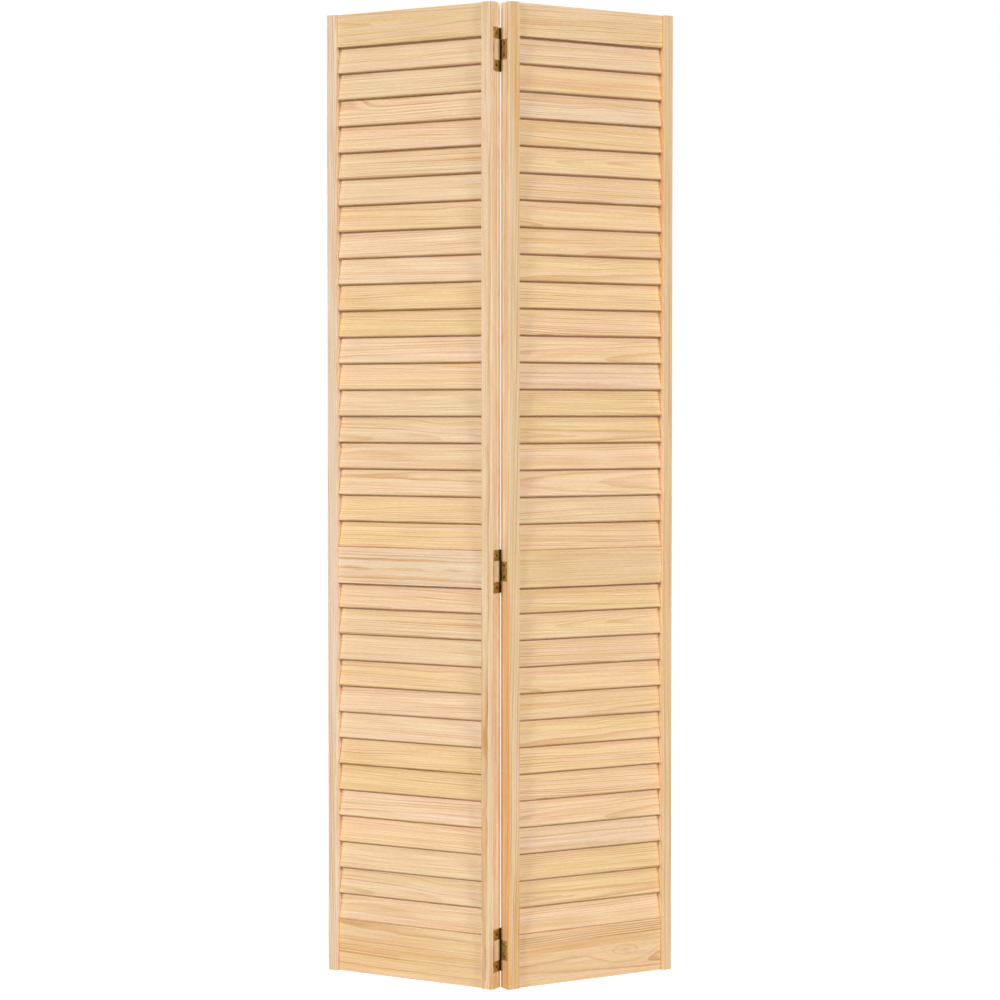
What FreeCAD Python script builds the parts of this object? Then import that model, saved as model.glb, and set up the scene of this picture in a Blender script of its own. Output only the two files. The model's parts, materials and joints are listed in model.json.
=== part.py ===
import FreeCAD, Part
import Sketcher
import math
import os

# A two-panel louvered bifold closet door, standing part folded with its hinged edges forward.
#
# Frame: millimetres, +Z up, the door stands on Z = 0.  The front (room) side looks along -Y, the
# pins of the three hinges lie on X = 0, and the origin is the middle of the door's footprint box.
#
# Each panel is worked out flat, as it hangs when the door is shut, with the hinge pins at x = 0,
# y = 0.  One placement per panel, "left_swing" and "right_swing", then turns it to the folded rest.

doc = FreeCAD.newDocument("bifold_closet_door")
Vector = FreeCAD.Vector
Constraint = Sketcher.Constraint

# ---------------------------------------------------------------- driving sizes (mm, degrees)

SIZES = {
    # the door as a whole
    "door_height": 2006.6,
    "door_width": 800.1,             # both panels flat, over the outer edges
    "panel_thickness": 31.75,
    "meeting_gap": 1.5,              # between the two hinged edges when the door is flat
    "fold_angle": 30,                # turn of each panel out of flat at rest
    # frame of a panel
    "hinge_stile_width": 26,
    "outer_stile_width": 22.5,
    "top_rail_height": 66.9,
    "middle_rail_rise": 820,         # floor to the underside of the middle rail
    "middle_rail_height": 75.5,
    "bottom_rail_height": 108.5,
    "rail_thickness": 19.05,         # centred in the thickness of the stiles
    "stile_arris": 2,                # rounding of the long outer edges of a stile
    "pin_side_arris": 0.5,           # of the back edge beside the pins, nearly sharp
    "inner_arris": 0.8,              # rounding of the edges beside the louvers
    # louver slats
    "upper_slat_count": 19,
    "lower_slat_count": 13,
    "slat_thickness": 6.35,
    "slat_gap": 3.2,                 # clear space between the faces of two neighbours
    "slat_lap": 7.7,                 # how far a slat hangs over the next one below
    "middle_rail_lap": 3.1,          # extra lap of the middle rail over the first lower slat
    "slat_rest_gap": 0.3,            # between the lowest slat and the rail under it
    "slot_depth": 7,                 # routed into the stile for the end of a slat
    "slot_clearance": 0.15,          # round a slat in its slot
    "slat_end_gap": 0.4,             # between the end of a slat and the floor of its slot
    "rebate_clearance": 0.5,         # round the top edge of the first slat behind its rail
    # dowels between rails and stiles
    "dowel_diameter": 9.525,
    "dowel_in_stile": 10.5,
    "dowel_in_rail": 34,
    "dowel_clearance": 0.1,          # glue line round a dowel
    "dowel_end_gap": 0.5,
    "dowel_spacing_top": 17,
    "dowel_spacing_middle": 36,
    "dowel_spacing_bottom": 45,
    "dowel_edge_top": 16,            # underside of a rail to its lower dowel
    "dowel_edge_middle": 24,
    "dowel_edge_bottom": 40,
    # bores for the pivots and the guide, in both ends of the outer stiles
    "pivot_bore_diameter": 9.525,
    "pivot_bore_depth": 25.4,
    # hinges
    "pin_setback": 0.3,              # axis of the pins behind the back faces
    "hinge_height": 88,
    "hinge_arm_height": 22.3,
    "hinge_leaf_depth": 28,          # onto the edge of the door, from its back face
    "hinge_far_strip": 2.2,          # strip that joins the two arms of the outer leaf
    "hinge_leaf_thickness": 1.2,
    "hinge_window_side_gap": 1.75,   # inner leaf to the arms of the outer leaf
    "hinge_window_end_gap": 0.7,     # inner leaf to the far strip
    "knuckle_radius": 2.15,
    "knuckle_clearance": 0.2,        # to the grooves in the stiles that house the knuckles
    "knuckle_gap": 0.4,              # between neighbouring knuckles, along the pin
    "pin_radius": 1,
    "pin_press_clearance": 0.02,     # pin in the knuckles of the outer leaf
    "pin_running_clearance": 0.06,   # pin in the knuckle of the inner leaf
    "pin_stand_out": 0.7,            # past the knuckles, each end
    "pin_end_round": 0.5,
    "top_hinge_inset": 94.5,         # top of the door to the middle of the top hinge
    "middle_hinge_rise": 854.5,      # floor to the middle of the middle hinge
    "bottom_hinge_rise": 78.3,
    # hinge screws
    "screw_head_diameter": 7,
    "screw_shank_diameter": 3.5,
    "screw_length": 15,
    "screw_point_length": 4,
    "screw_point_diameter": 0.9,
    "screw_clearance": 0.06,
    "screw_recess_span": 3.6,
    "screw_recess_width": 0.8,
    "screw_recess_depth": 1,
    "outer_leaf_screw_inset": 15.8,  # from the back face of the panel
    "inner_leaf_screw_inset": 14.5,
    "inner_leaf_screw_spacing": 23.8,
}

sizes = doc.addObject("Spreadsheet::Sheet", "Sizes")
for row, (alias, value) in enumerate(SIZES.items(), start=1):
    sizes.set(f"A{row}", alias)
    sizes.set(f"B{row}", str(value))
    sizes.setAlias(f"B{row}", alias)
doc.recompute()

# ---------------------------------------------------------------- sizes that follow from them

layout = doc.addObject("App::VarSet", "Layout")


def follows(name, expression, kind="Float"):
    """Add a value to Layout that is worked out from the sheet."""
    layout.addProperty(f"App::Property{kind}", name, "Layout")
    layout.setExpression(name, expression)


follows("panel_width", "(Sizes.door_width - Sizes.meeting_gap) / 2")
follows("hinge_edge", "Sizes.meeting_gap / 2")
follows("front_face", "-(Sizes.pin_setback + Sizes.panel_thickness)")
follows("mid_thickness", "Sizes.panel_thickness / 2")
follows("rail_front", "Layout.mid_thickness - Sizes.rail_thickness / 2")  # behind the front of the stiles
follows("opening_width", "Layout.panel_width - Sizes.hinge_stile_width - Sizes.outer_stile_width")

# Where the parts of a panel lie, as distances from the hinge pins along the flat panel.
follows("hinge_stile_middle", "Layout.hinge_edge + Sizes.hinge_stile_width / 2")
follows("opening_middle", "Layout.hinge_edge + Sizes.hinge_stile_width + Layout.opening_width / 2")
follows("outer_stile_middle", "Layout.hinge_edge + Layout.panel_width - Sizes.outer_stile_width / 2")

# Undersides of the rails, and the two louver openings between them.
follows("top_rail_base", "Sizes.door_height - Sizes.top_rail_height")
follows("upper_opening_base", "Sizes.middle_rail_rise + Sizes.middle_rail_height")
follows("upper_opening_height", "Layout.top_rail_base - Layout.upper_opening_base")
follows("lower_opening_base", "Sizes.bottom_rail_height")
follows("lower_opening_height", "Sizes.middle_rail_rise - Sizes.bottom_rail_height")

# Slats share each opening evenly, and lean so that the clear gap between them is slat_gap.
follows("upper_lap", "0")
follows("lower_lap", "Sizes.middle_rail_lap")
for bay in ("upper", "lower"):
    follows(f"{bay}_pitch", f"(Layout.{bay}_opening_height + Layout.{bay}_lap - Sizes.slat_rest_gap)"
                            f" / Sizes.{bay}_slat_count")
    follows(f"{bay}_tilt", f"asin((Sizes.slat_thickness + Sizes.slat_gap) / Layout.{bay}_pitch)", "Angle")
    follows(f"{bay}_rise", f"Layout.{bay}_pitch + Sizes.slat_lap")
    follows(f"{bay}_slat_width", f"Sizes.slat_thickness"
                                 f" + (Layout.{bay}_rise - Sizes.slat_thickness) / cos(Layout.{bay}_tilt)")
    follows(f"{bay}_first_middle", f"Layout.{bay}_opening_base + Sizes.slat_rest_gap + Layout.{bay}_rise / 2")
    # The rebate for the head of the first slat, along the lower back edge of the rail above the
    # opening.  Its front clears the leaning slat down to the underside of the rail.
    follows(f"{bay}_rebate_height", f"Sizes.slat_lap + Layout.{bay}_lap + Sizes.rebate_clearance")
    follows(f"{bay}_rebate_front", f"Layout.mid_thickness - Sizes.slat_thickness / 2 - Sizes.rebate_clearance"
                                   f" + (Layout.{bay}_slat_width - Sizes.slat_thickness) / 2"
                                   f" * sin(Layout.{bay}_tilt)"
                                   f" - Layout.{bay}_rebate_height * tan(Layout.{bay}_tilt)")
    follows(f"{bay}_rebate_depth", f"Layout.rail_front + Sizes.rail_thickness - Layout.{bay}_rebate_front")
follows("slat_length", "Layout.opening_width + 2 * (Sizes.slot_depth - Sizes.slat_end_gap)")

# Hinge pins stand this far behind the middle of the footprint of the folded door.
follows("apex_reach", "(Layout.front_face + Sizes.stile_arris) * cos(Sizes.fold_angle)"
                      " + (Layout.hinge_edge + Sizes.stile_arris) * sin(Sizes.fold_angle)"
                      " - Sizes.stile_arris")
follows("outer_reach", "(Layout.hinge_edge + Layout.panel_width - Sizes.stile_arris)"
                       " * sin(Sizes.fold_angle)"
                       " - (Sizes.pin_setback + Sizes.stile_arris) * cos(Sizes.fold_angle)"
                       " + Sizes.stile_arris")
follows("pin_line", "-(Layout.apex_reach + Layout.outer_reach) / 2")
for panel, turn in (("left", "-Sizes.fold_angle"), ("right", "Sizes.fold_angle")):
    follows(f"{panel}_swing", f"placement(vector(0; Layout.pin_line; 0);"
                              f" rotation(vector(0; 0; 1); {turn}))", "Placement")

# Heights of the dowels, the hinge screws and the hinges above the foot of a stile.
RAIL_BASES = {"top": "Layout.top_rail_base", "middle": "Sizes.middle_rail_rise", "bottom": "0"}
HINGE_MIDDLES = {
    "top": "Sizes.door_height - Sizes.top_hinge_inset",
    "middle": "Sizes.middle_hinge_rise",
    "bottom": "Sizes.bottom_hinge_rise",
}
for level, base in RAIL_BASES.items():
    follows(f"{level}_dowel_low", f"{base} + Sizes.dowel_edge_{level}")
    follows(f"{level}_dowel_high", f"{base} + Sizes.dowel_edge_{level} + Sizes.dowel_spacing_{level}")
DOWEL_HEIGHTS = [f"Layout.{level}_dowel_{end}" for level in RAIL_BASES for end in ("low", "high")]
follows("outer_leaf_screw_reach", "(Sizes.hinge_height - Sizes.hinge_arm_height) / 2")
follows("inner_leaf_screw_reach", "Sizes.inner_leaf_screw_spacing / 2")
follows("groove_margin", "Sizes.pin_stand_out + Sizes.knuckle_clearance")  # past each end of a hinge
follows("groove_height", "Sizes.hinge_height + 2 * Layout.groove_margin")
for level, middle in HINGE_MIDDLES.items():
    follows(f"{level}_hinge_middle", middle)
    follows(f"{level}_hinge_base", f"{middle} - Sizes.hinge_height / 2")
    follows(f"{level}_groove_base", f"Layout.{level}_hinge_base - Layout.groove_margin")
doc.recompute()

SIDES = {"left": -1, "right": 1}
LEAF = {"left": "outer_leaf", "right": "inner_leaf"}  # the leaf that each panel carries


# ---------------------------------------------------------------- helpers

def place(x="0", y="0", z="0", axis="0; 0; 1", angle="0"):
    """Expression for a placement from the expressions of its parts."""
    return f"placement(vector({x}; {y}; {z}); rotation(vector({axis}); {angle}))"


def new_body(name):
    """A PartDesign body that may hold several separate solids."""
    body = doc.addObject("PartDesign::Body", name)
    body.Label = name
    body.AllowCompound = True
    return body


def origin_feature(body, role):
    return next(feature for feature in body.Origin.OriginFeatures if feature.Role == role)


def sketch_on(body, name, plane, offset=place()):
    """A sketch on one of the body's own origin planes, moved in that plane's axes by an expression."""
    sketch = body.newObject("Sketcher::SketchObject", f"{body.Name}_{name}")
    sketch.AttachmentSupport = [(origin_feature(body, plane), "")]
    sketch.MapMode = "FlatFace"
    sketch.setExpression("AttachmentOffset", offset)
    return sketch


def dimension(sketch, name, expression, *constraint):
    """Add a named dimension to the sketch and bind it to an expression."""
    index = sketch.addConstraint(Constraint(*constraint))
    sketch.renameConstraint(index, name)
    sketch.setExpression(f"Constraints.{name}", expression)


def rectangle(sketch, width, height):
    """A rectangle with its lower left corner on the sketch's origin."""
    corners = [Vector(0, 0), Vector(10, 0), Vector(10, 10), Vector(0, 10)]
    sketch.addGeometry([Part.LineSegment(corners[i], corners[(i + 1) % 4]) for i in range(4)])
    sketch.addConstraint([Constraint("Coincident", i, 2, (i + 1) % 4, 1) for i in range(4)])
    sketch.addConstraint([Constraint("Horizontal", 0), Constraint("Horizontal", 2)])
    sketch.addConstraint([Constraint("Vertical", 1), Constraint("Vertical", 3)])
    sketch.addConstraint(Constraint("Coincident", 0, 1, -1, 1))
    dimension(sketch, "width", width, "DistanceX", 0, 1, 0, 2, 10.0)
    dimension(sketch, "height", height, "DistanceY", 1, 1, 1, 2, 10.0)


def stadium(sketch, length, thickness):
    """A bar with round ends, upright, with its middle on the sketch's origin."""
    radius, reach = 2.0, 10.0
    top = Part.ArcOfCircle(Part.Circle(Vector(0, reach), Vector(0, 0, 1), radius), 0, math.pi)
    foot = Part.ArcOfCircle(Part.Circle(Vector(0, -reach), Vector(0, 0, 1), radius), math.pi, 2 * math.pi)
    right = Part.LineSegment(Vector(radius, -reach), Vector(radius, reach))
    left = Part.LineSegment(Vector(-radius, reach), Vector(-radius, -reach))
    sketch.addGeometry([right, top, left, foot])
    sketch.addConstraint([Constraint("Tangent", i, 2, (i + 1) % 4, 1) for i in range(4)])
    sketch.addConstraint([
        Constraint("Equal", 1, 3),
        Constraint("PointOnObject", 1, 3, -2),
        Constraint("Symmetric", 1, 3, 3, 3, -1, 1),
    ])
    dimension(sketch, "span", f"{length} - {thickness}", "DistanceY", 3, 3, 1, 3, 2 * reach)
    dimension(sketch, "end_radius", f"({thickness}) / 2", "Radius", 1, radius)


def circles(sketch, across, heights, diameter):
    """Circles one above another, at a distance across the sketch and at their heights."""
    for i, height in enumerate(heights):
        middle = Vector(10, 20 * (i + 1))
        sketch.addGeometry(Part.Circle(middle, Vector(0, 0, 1), 2.0))
        dimension(sketch, f"across_{i}", across, "DistanceX", -1, 1, i, 3, middle.x)
        dimension(sketch, f"height_{i}", height, "DistanceY", -1, 1, i, 3, middle.y)
        dimension(sketch, f"diameter_{i}", diameter, "Diameter", i, 4.0)


def round_sketch(body, name, plane, offset, radius):
    """A sketch that holds one circle round its origin."""
    sketch = sketch_on(body, name, plane, offset)
    sketch.addGeometry(Part.Circle(Vector(0, 0), Vector(0, 0, 1), 2.0))
    sketch.addConstraint(Constraint("Coincident", 0, 3, -1, 1))
    dimension(sketch, "radius", radius, "Radius", 0, 2.0)
    return sketch


def pad(body, name, sketch, length, both_ways=False):
    """Material from the sketch, along its normal or evenly to both sides of it."""
    feature = body.newObject("PartDesign::Pad", f"{body.Name}_{name}")
    feature.Profile = sketch
    feature.SideType = "Symmetric" if both_ways else "One side"
    feature.setExpression("Length", length)
    return feature


def pocket(body, name, sketch, depth, along_normal=False):
    """A cut from the sketch, against its normal unless along_normal is set."""
    feature = body.newObject("PartDesign::Pocket", f"{body.Name}_{name}")
    feature.Profile = sketch
    feature.Reversed = along_normal
    feature.setExpression("Length", depth)
    return feature


def repeat_up(body, name, feature, pitch, count):
    """Repeat a feature along the body's Z axis."""
    pattern = body.newObject("PartDesign::LinearPattern", f"{body.Name}_{name}")
    pattern.Originals = [feature]
    pattern.Direction = (origin_feature(body, "Z_Axis"), [""])
    pattern.setExpression("Length", f"({count} - 1) * {pitch}")
    pattern.setExpression("Occurrences", count)
    body.Tip = pattern
    return pattern


def round_edges(body, name, radius, choose):
    """Fillet the edges of the body's newest feature that the test picks out."""
    doc.recompute()
    base = body.Tip
    edges = [f"Edge{i}" for i, edge in enumerate(base.Shape.Edges, start=1) if choose(edge)]
    fillet = body.newObject("PartDesign::Fillet", f"{body.Name}_{name}")
    fillet.Base = (base, edges)
    fillet.setExpression("Radius", radius)
    return fillet


def runs_along(edge, direction):
    """True for a straight edge that is parallel to a direction."""
    start, end = edge.firstVertex().Point, edge.lastVertex().Point
    return (end - start).cross(direction).Length < 1e-6 * edge.Length


def set_in_panel(thing, side, along, y="Layout.front_face", z="0", turn=""):
    """Place a piece in a panel: along the flat panel from the pins, then swung with the panel."""
    sign = "-" if side == "left" else ""
    thing.setExpression("Placement", f"Layout.{side}_swing * {place(f'{sign}({along})', y, z)}{turn}")


# ---------------------------------------------------------------- stiles

def slat_slots(body, bay, face, along_normal):
    """Slanted round-ended slots in a stile for the ends of one opening's slats."""
    lean = place("Layout.mid_thickness", f"Layout.{bay}_first_middle", face, angle=f"-Layout.{bay}_tilt")
    sketch = sketch_on(body, f"{bay}_slot_sketch", "YZ_Plane", lean)
    stadium(sketch, f"Layout.{bay}_slat_width + 2 * Sizes.slot_clearance",
            "(Sizes.slat_thickness + 2 * Sizes.slot_clearance)")
    slot = pocket(body, f"{bay}_slot", sketch, "Sizes.slot_depth", along_normal)
    repeat_up(body, f"{bay}_slots", slot, f"Layout.{bay}_pitch", f"Sizes.{bay}_slat_count")


def stile(side, kind):
    """An upright of a panel, standing on the middle of its own width, front face on y = 0."""
    body = new_body(f"{side}_{kind}_stile")
    width = f"Sizes.{kind}_stile_width"
    sketch = sketch_on(body, "section", "XY_Plane", place(f"-{width} / 2"))
    rectangle(sketch, width, "Sizes.panel_thickness")
    pad(body, "length", sketch, "Sizes.door_height")

    # The louver side looks away from the hinge on a hinge stile, and towards it on an outer one.
    outward = SIDES[side] if kind == "hinge" else -SIDES[side]
    mid_depth = float(sizes.get("panel_thickness")) / 2

    def long_edges(outer, front=True, back=True):
        """A test for the long edges of the outer or the louver side, at the front, the back or both."""
        def test(edge):
            middle = edge.CenterOfMass
            wanted_depth = back if middle.y > mid_depth else front
            return runs_along(edge, Vector(0, 0, 1)) and wanted_depth and (middle.x * outward < 0) == outer
        return test

    round_edges(body, "outer_arrises", "Sizes.stile_arris", long_edges(outer=True, back=kind == "outer"))
    if kind == "hinge":
        round_edges(body, "pin_arris", "Sizes.pin_side_arris", long_edges(outer=True, front=False))
    round_edges(body, "inner_arrises", "Sizes.inner_arris", long_edges(outer=False))

    # A cut from the face on the +X side runs against the sketch's normal, one from -X along it.
    inner_face = f"{outward} * {width} / 2"
    outer_face = f"{-outward} * {width} / 2"
    for bay in ("upper", "lower"):
        slat_slots(body, bay, inner_face, outward < 0)
    sketch = sketch_on(body, "dowel_sketch", "YZ_Plane", place(z=inner_face))
    circles(sketch, "Layout.mid_thickness", DOWEL_HEIGHTS,
            "Sizes.dowel_diameter + 2 * Sizes.dowel_clearance")
    pocket(body, "dowel_holes", sketch, "Sizes.dowel_in_stile + Sizes.dowel_end_gap", outward < 0)

    if kind == "hinge":
        leaf = LEAF[side]
        heights = [f"Layout.{level}_hinge_middle {sign} Layout.{leaf}_screw_reach"
                   for level in HINGE_MIDDLES for sign in ("-", "+")]
        sketch = sketch_on(body, "screw_sketch", "YZ_Plane", place(z=outer_face))
        circles(sketch, f"Sizes.panel_thickness - Sizes.{leaf}_screw_inset", heights,
                "Sizes.screw_shank_diameter + 2 * Sizes.screw_clearance")
        pocket(body, "screw_holes", sketch,
               "Sizes.screw_length - Sizes.hinge_leaf_thickness + Sizes.screw_clearance", outward > 0)
        for level in HINGE_MIDDLES:
            foot = place(f"{-outward} * Layout.hinge_stile_middle",
                         "Sizes.panel_thickness + Sizes.pin_setback", f"Layout.{level}_groove_base")
            sketch = round_sketch(body, f"{level}_groove_sketch", "XY_Plane", foot,
                                  "Sizes.knuckle_radius + Sizes.knuckle_clearance")
            pocket(body, f"{level}_knuckle_groove", sketch, "Layout.groove_height", along_normal=True)
        middle = "Layout.hinge_stile_middle"
    else:
        for end, height in (("foot", "0"), ("head", "Sizes.door_height")):
            sketch = sketch_on(body, f"{end}_bore_sketch", "XY_Plane", place(z=height))
            sketch.addGeometry(Part.Circle(Vector(0, 10), Vector(0, 0, 1), 2.0))
            sketch.addConstraint(Constraint("PointOnObject", 0, 3, -2))
            dimension(sketch, "depth_in_door", "Layout.mid_thickness", "DistanceY", -1, 1, 0, 3, 10.0)
            dimension(sketch, "bore", "Sizes.pivot_bore_diameter", "Diameter", 0, 4.0)
            pocket(body, f"{end}_bore", sketch, "Sizes.pivot_bore_depth", end == "foot")
        middle = "Layout.outer_stile_middle"
    set_in_panel(body, side, middle)
    return body


# ---------------------------------------------------------------- rails

RAIL_HEIGHTS = {
    "top": "Sizes.top_rail_height",
    "middle": "Sizes.middle_rail_height",
    "bottom": "Sizes.bottom_rail_height",
}
BAY_UNDER = {"top": "upper", "middle": "lower"}  # the louver opening under each rail


def rail(side, level):
    """A cross piece between the stiles and set back from them, mid-length on x = 0, foot on z = 0."""
    body = new_body(f"{side}_{level}_rail")
    sketch = sketch_on(body, "section", "YZ_Plane", place("Layout.rail_front"))
    rectangle(sketch, "Sizes.rail_thickness", RAIL_HEIGHTS[level])
    pad(body, "length", sketch, "Layout.opening_width", both_ways=True)
    across = Vector(1, 0, 0)
    round_edges(body, "arrises", "Sizes.inner_arris", lambda edge: runs_along(edge, across))

    if level in BAY_UNDER:
        bay = BAY_UNDER[level]
        sketch = sketch_on(body, "rebate_sketch", "YZ_Plane",
                           place(f"Layout.{bay}_rebate_front", "0", "Layout.opening_width / 2"))
        rectangle(sketch, f"Layout.{bay}_rebate_depth", f"Layout.{bay}_rebate_height")
        pocket(body, "rebate", sketch, "Layout.opening_width")

    base = RAIL_BASES[level]
    heights = [f"Layout.{level}_dowel_{end} - ({base})" for end in ("low", "high")]
    for end, sign in (("left", "-"), ("right", "")):
        end_face = f"{sign}Layout.opening_width / 2"
        sketch = sketch_on(body, f"{end}_dowel_sketch", "YZ_Plane", place(z=end_face))
        circles(sketch, "Layout.mid_thickness", heights,
                "Sizes.dowel_diameter + 2 * Sizes.dowel_clearance")
        pocket(body, f"{end}_dowel_holes", sketch, "Sizes.dowel_in_rail + Sizes.dowel_end_gap", end == "left")
    set_in_panel(body, side, "Layout.opening_middle", z=base)
    return body


def rail_dowels(side):
    """The twelve glued dowels of a panel, two at each end of each rail."""
    # A dowel starts in the stile and ends in the rail: how far its two ends lie from the pins.
    joints = {
        "hinge": "Layout.hinge_edge + Sizes.hinge_stile_width - Sizes.dowel_in_stile",
        "outer": "Layout.hinge_edge + Layout.panel_width - Sizes.outer_stile_width - Sizes.dowel_in_rail",
    }
    dowels = []
    for joint, start in joints.items():
        for i, height in enumerate(DOWEL_HEIGHTS):
            dowel = doc.addObject("Part::Cylinder", f"{side}_{joint}_dowel_{i + 1}")
            dowel.setExpression("Radius", "Sizes.dowel_diameter / 2")
            dowel.setExpression("Height", "Sizes.dowel_in_stile + Sizes.dowel_in_rail")
            quarter_turn = f" * {place(axis='0; 1; 0', angle=f'{SIDES[side] * 90}')}"
            set_in_panel(dowel, side, start, "Layout.front_face + Layout.mid_thickness", height, quarter_turn)
            dowels.append(dowel)
    return group(f"{side}_rail_dowels", dowels)


def group(name, members):
    """Identical pieces kept together as one node of separate solids."""
    compound = doc.addObject("Part::Compound", name)
    compound.Label = name
    compound.Links = members
    return compound


# ---------------------------------------------------------------- louver slats

def slats(side, bay, first, last):
    """Neighbouring slats, numbered from the top of their opening, leaning with the head to the back."""
    numbers = f"{first:02d}_{last:02d}" if last > first else f"{first:02d}"
    body = new_body(f"{side}_{bay}_slat{'s' if last > first else ''}_{numbers}")
    sketch = sketch_on(body, "section", "YZ_Plane", place(angle=f"-Layout.{bay}_tilt"))
    stadium(sketch, f"Layout.{bay}_slat_width", "Sizes.slat_thickness")
    bar = pad(body, "length", sketch, "Layout.slat_length", both_ways=True)
    if last > first:
        repeat_up(body, "pair", bar, f"Layout.{bay}_pitch", f"{last - first + 1}")
    height = f"Layout.{bay}_first_middle + (Sizes.{bay}_slat_count - {last}) * Layout.{bay}_pitch"
    set_in_panel(body, side, "Layout.opening_middle", "Layout.front_face + Layout.mid_thickness", height)
    return body


# ---------------------------------------------------------------- hinges

KNUCKLE_BORE = {
    "outer_leaf": "Sizes.pin_radius + Sizes.pin_press_clearance",
    "inner_leaf": "Sizes.pin_radius + Sizes.pin_running_clearance",
}
# Outline of each leaf on the door edge: how deep it goes, and how far it stays from the hinge's ends.
LEAF_DEPTH = {
    "outer_leaf": "Sizes.hinge_leaf_depth",
    "inner_leaf": "(Sizes.hinge_leaf_depth - Sizes.hinge_far_strip - Sizes.hinge_window_end_gap)",
}
LEAF_END = {
    "outer_leaf": "0",
    "inner_leaf": "(Sizes.hinge_arm_height + Sizes.hinge_window_side_gap)",
}
# Each run of knuckle: where it starts above the hinge's foot, and its height.
KNUCKLES = {
    "outer_leaf": [("0", "Sizes.hinge_arm_height"),
                   ("Sizes.hinge_height - Sizes.hinge_arm_height", "Sizes.hinge_arm_height")],
    "inner_leaf": [("Sizes.hinge_arm_height + Sizes.knuckle_gap",
                    "Sizes.hinge_height - 2 * Sizes.hinge_arm_height - 2 * Sizes.knuckle_gap")],
}


def hinge_leaf(side, level):
    """A leaf with its knuckles, round the pin's axis, foot of the hinge on z = 0."""
    leaf = LEAF[side]
    sign = SIDES[side]
    body = new_body(f"{level}_hinge_{leaf}")

    # The plate lies on the edge of its own panel and runs back into the wall of the knuckle.
    root = "(Sizes.pin_radius + Sizes.knuckle_radius) / 2"
    tip = f"-(Sizes.pin_setback + {LEAF_DEPTH[leaf]})"
    inner_side = f"{sign} * Layout.hinge_edge" + (" - Sizes.hinge_leaf_thickness" if sign > 0 else "")
    sketch = sketch_on(body, "plate_sketch", "YZ_Plane", place(tip, LEAF_END[leaf], inner_side))
    rectangle(sketch, f"-({tip}) - {root}", f"Sizes.hinge_height - 2 * {LEAF_END[leaf]}")
    pad(body, "plate", sketch, "Sizes.hinge_leaf_thickness")

    if leaf == "outer_leaf":
        window_tip = "-(Sizes.pin_setback + Sizes.hinge_leaf_depth - Sizes.hinge_far_strip)"
        sketch = sketch_on(body, "window_sketch", "YZ_Plane",
                           place(window_tip, "Sizes.hinge_arm_height", inner_side))
        rectangle(sketch, f"-({window_tip})", "Sizes.hinge_height - 2 * Sizes.hinge_arm_height")
        pocket(body, "window", sketch, "Sizes.hinge_leaf_thickness", along_normal=True)

    for i, (base, height) in enumerate(KNUCKLES[leaf]):
        sketch = round_sketch(body, f"knuckle_sketch_{i}", "XY_Plane", place(z=base), "Sizes.knuckle_radius")
        pad(body, f"knuckle_{i}", sketch, height)
    sketch = round_sketch(body, "bore_sketch", "XY_Plane", place(), KNUCKLE_BORE[leaf])
    pocket(body, "bore", sketch, "Sizes.hinge_height", along_normal=True)

    # Countersunk screw holes, widest at the face that looks at the other panel.
    for name, end in (("low", "-"), ("high", "+")):
        hole = body.newObject("PartDesign::SubtractiveCone", f"{body.Name}_{name}_hole")
        hole.setExpression("Radius1", "Sizes.screw_head_diameter / 2 + Sizes.screw_clearance")
        hole.setExpression("Radius2", "Sizes.screw_shank_diameter / 2 + Sizes.screw_clearance")
        hole.setExpression("Height", "Sizes.hinge_leaf_thickness")
        hole.setExpression("Placement", place(
            f"{sign} * (Layout.hinge_edge - Sizes.hinge_leaf_thickness)",
            f"-(Sizes.pin_setback + Sizes.{leaf}_screw_inset)",
            f"Sizes.hinge_height / 2 {end} Layout.{leaf}_screw_reach",
            "0; 1; 0", f"{sign * 90}"))
    body.setExpression("Placement", f"Layout.{side}_swing * {place(z=f'Layout.{level}_hinge_base')}")
    return body


def hinge_pin(level):
    """The pin, held in the outer leaf, with its ends rounded over."""
    body = new_body(f"{level}_hinge_pin")
    sketch = round_sketch(body, "section", "XY_Plane", place(z="-Sizes.pin_stand_out"), "Sizes.pin_radius")
    pad(body, "length", sketch, "Sizes.hinge_height + 2 * Sizes.pin_stand_out")
    round_edges(body, "ends", "Sizes.pin_end_round", lambda edge: edge.Curve.TypeId == "Part::GeomCircle")
    body.setExpression("Placement", f"Layout.left_swing * {place(z=f'Layout.{level}_hinge_base')}")
    return body


# ---------------------------------------------------------------- hinge screws

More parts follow.
